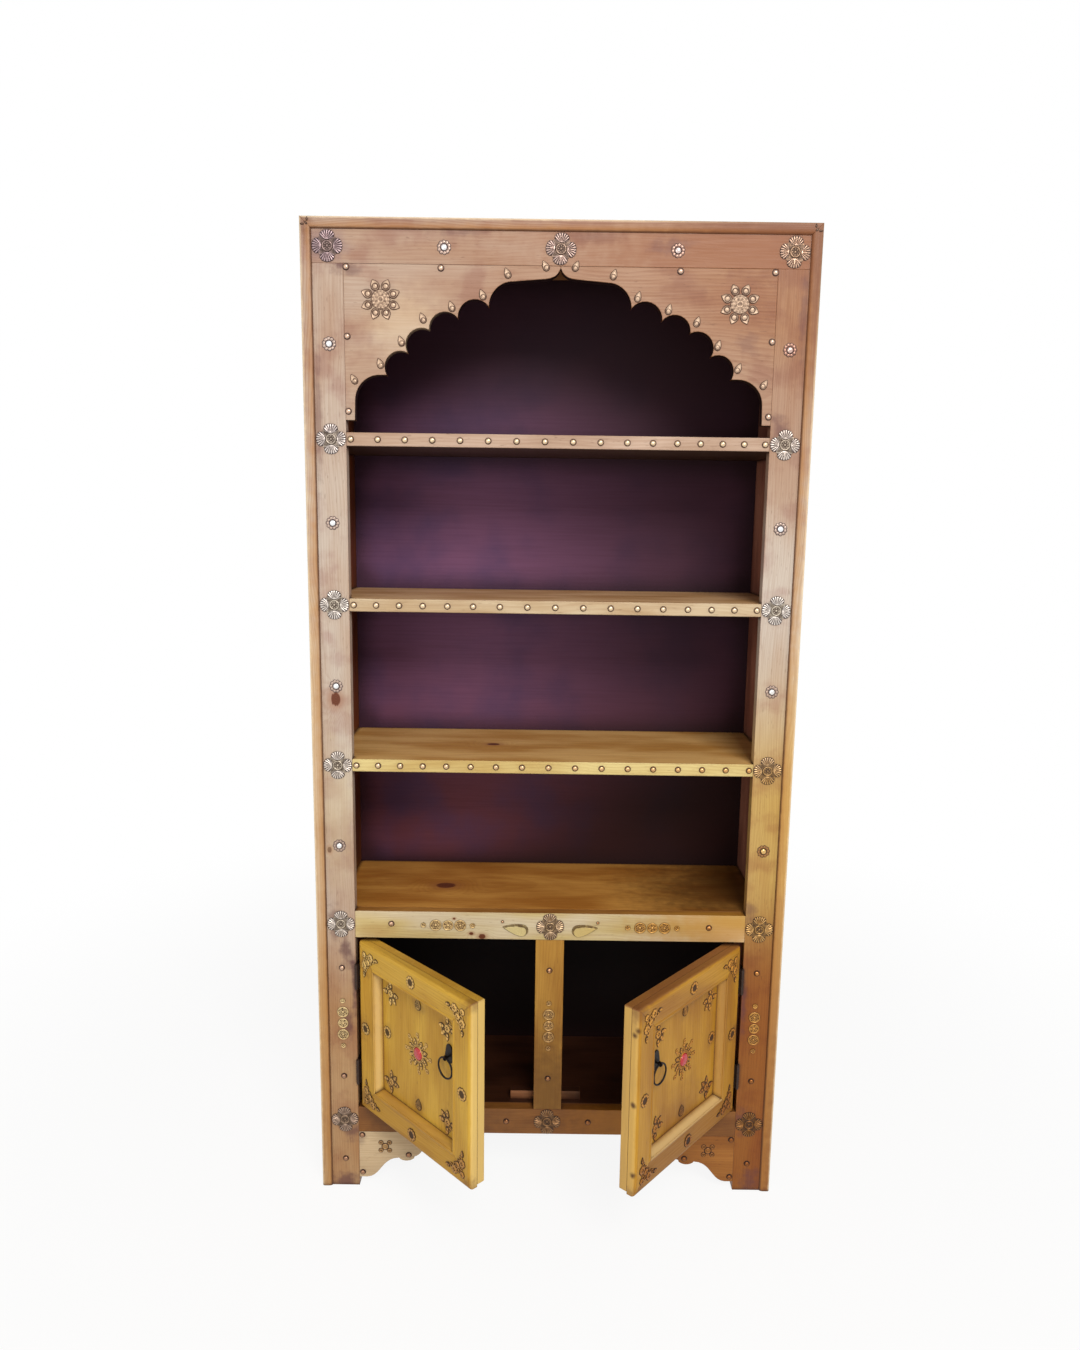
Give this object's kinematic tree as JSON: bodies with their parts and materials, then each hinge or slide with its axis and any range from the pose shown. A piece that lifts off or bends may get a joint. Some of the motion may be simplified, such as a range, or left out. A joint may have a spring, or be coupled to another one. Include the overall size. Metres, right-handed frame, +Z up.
{
  "type": "bookshelf",
  "caption": "Arched pine bookshelf with open shelves over a two-door cupboard, pressed brass ornaments and iron ring pulls.",
  "frame": {"origin": "where the middle of the back panel's outer face meets the floor", "axes": "+Z up from the floor, +Y towards the wall, +X to the right as seen from the front"},
  "size_m": [0.9, 0.5402, 1.84],
  "materials": {
    "honey_pine": "waxed pine, pinkish honey",
    "golden_pine": "waxed pine, golden yellow",
    "stained_panel": "dark plum stain, matt",
    "pressed_brass": "aged pressed brass",
    "blackened_iron": "forged and blackened",
    "red_stone": "polished red cabochon"
  },
  "bodies": {
    "carcass": {"left_side_board": "honey_pine", "right_side_board": "honey_pine", "top_board": "honey_pine", "upper_shelf": "honey_pine", "left_stile": "honey_pine", "right_stile": "honey_pine", "top_rail": "honey_pine", "left_spandrel": "honey_pine", "right_spandrel": "honey_pine", "left_trim": "honey_pine", "right_trim": "honey_pine", "top_trim": "honey_pine", "middle_shelf": "golden_pine", "lower_shelf": "golden_pine", "deck_board": "golden_pine", "floor_board": "golden_pine", "mid_rail": "golden_pine", "bottom_rail": "golden_pine", "mullion": "golden_pine", "left_bracket": "golden_pine", "right_bracket": "golden_pine", "door_stop": "golden_pine", "back_panel": "stained_panel", "frame_rosettes": "pressed_brass", "frame_flowers": "pressed_brass", "spandrel_flowers": "pressed_brass", "arch_teardrops": "pressed_brass", "shelf_studs": "pressed_brass", "frame_studs": "pressed_brass", "medallion_chains": "pressed_brass", "paisley_plaques": "pressed_brass", "bracket_clusters": "pressed_brass", "frame_hinge_leaves": "blackened_iron", "hinge_pins": "blackened_iron", "frame_hinge_screws": "blackened_iron"},
    "left_door": {"left_door_board": "golden_pine", "left_door_hinge_stile": "golden_pine", "left_door_lock_stile": "golden_pine", "left_door_top_member": "golden_pine", "left_door_bottom_member": "golden_pine", "left_door_leaves": "blackened_iron", "left_door_screws": "blackened_iron", "left_pull_plate": "blackened_iron", "left_door_ornaments": "pressed_brass", "left_door_stone": "red_stone"},
    "left_ring": {"left_pull_ring": "blackened_iron"},
    "right_door": {"right_door_board": "golden_pine", "right_door_hinge_stile": "golden_pine", "right_door_lock_stile": "golden_pine", "right_door_top_member": "golden_pine", "right_door_bottom_member": "golden_pine", "right_door_leaves": "blackened_iron", "right_door_screws": "blackened_iron", "right_pull_plate": "blackened_iron", "right_door_ornaments": "pressed_brass", "right_door_stone": "red_stone"},
    "right_ring": {"right_pull_ring": "blackened_iron"}
  },
  "joints": [
    {"name": "left_door_swing", "type": "hinge", "parent": "carcass", "child": "left_door", "pos_m": [-0.3744, -0.2894, 0.35], "axis": [0, 0, -1], "range_deg": [-46, 119]},
    {"name": "right_door_swing", "type": "hinge", "parent": "carcass", "child": "right_door", "pos_m": [0.3744, -0.2894, 0.35], "axis": [0, 0, 1], "range_deg": [-49, 116]},
    {"name": "left_ring_swing", "type": "hinge", "parent": "left_door", "child": "left_ring", "pos_m": [-0.1845, -0.47107, 0.391], "axis": [-0.6947, 0.7193, 0], "range_deg": [-8, 150]},
    {"name": "right_ring_swing", "type": "hinge", "parent": "right_door", "child": "right_ring", "pos_m": [0.19427, -0.48076, 0.391], "axis": [-0.6561, -0.7547, 0], "range_deg": [-8, 150]}
  ]
}
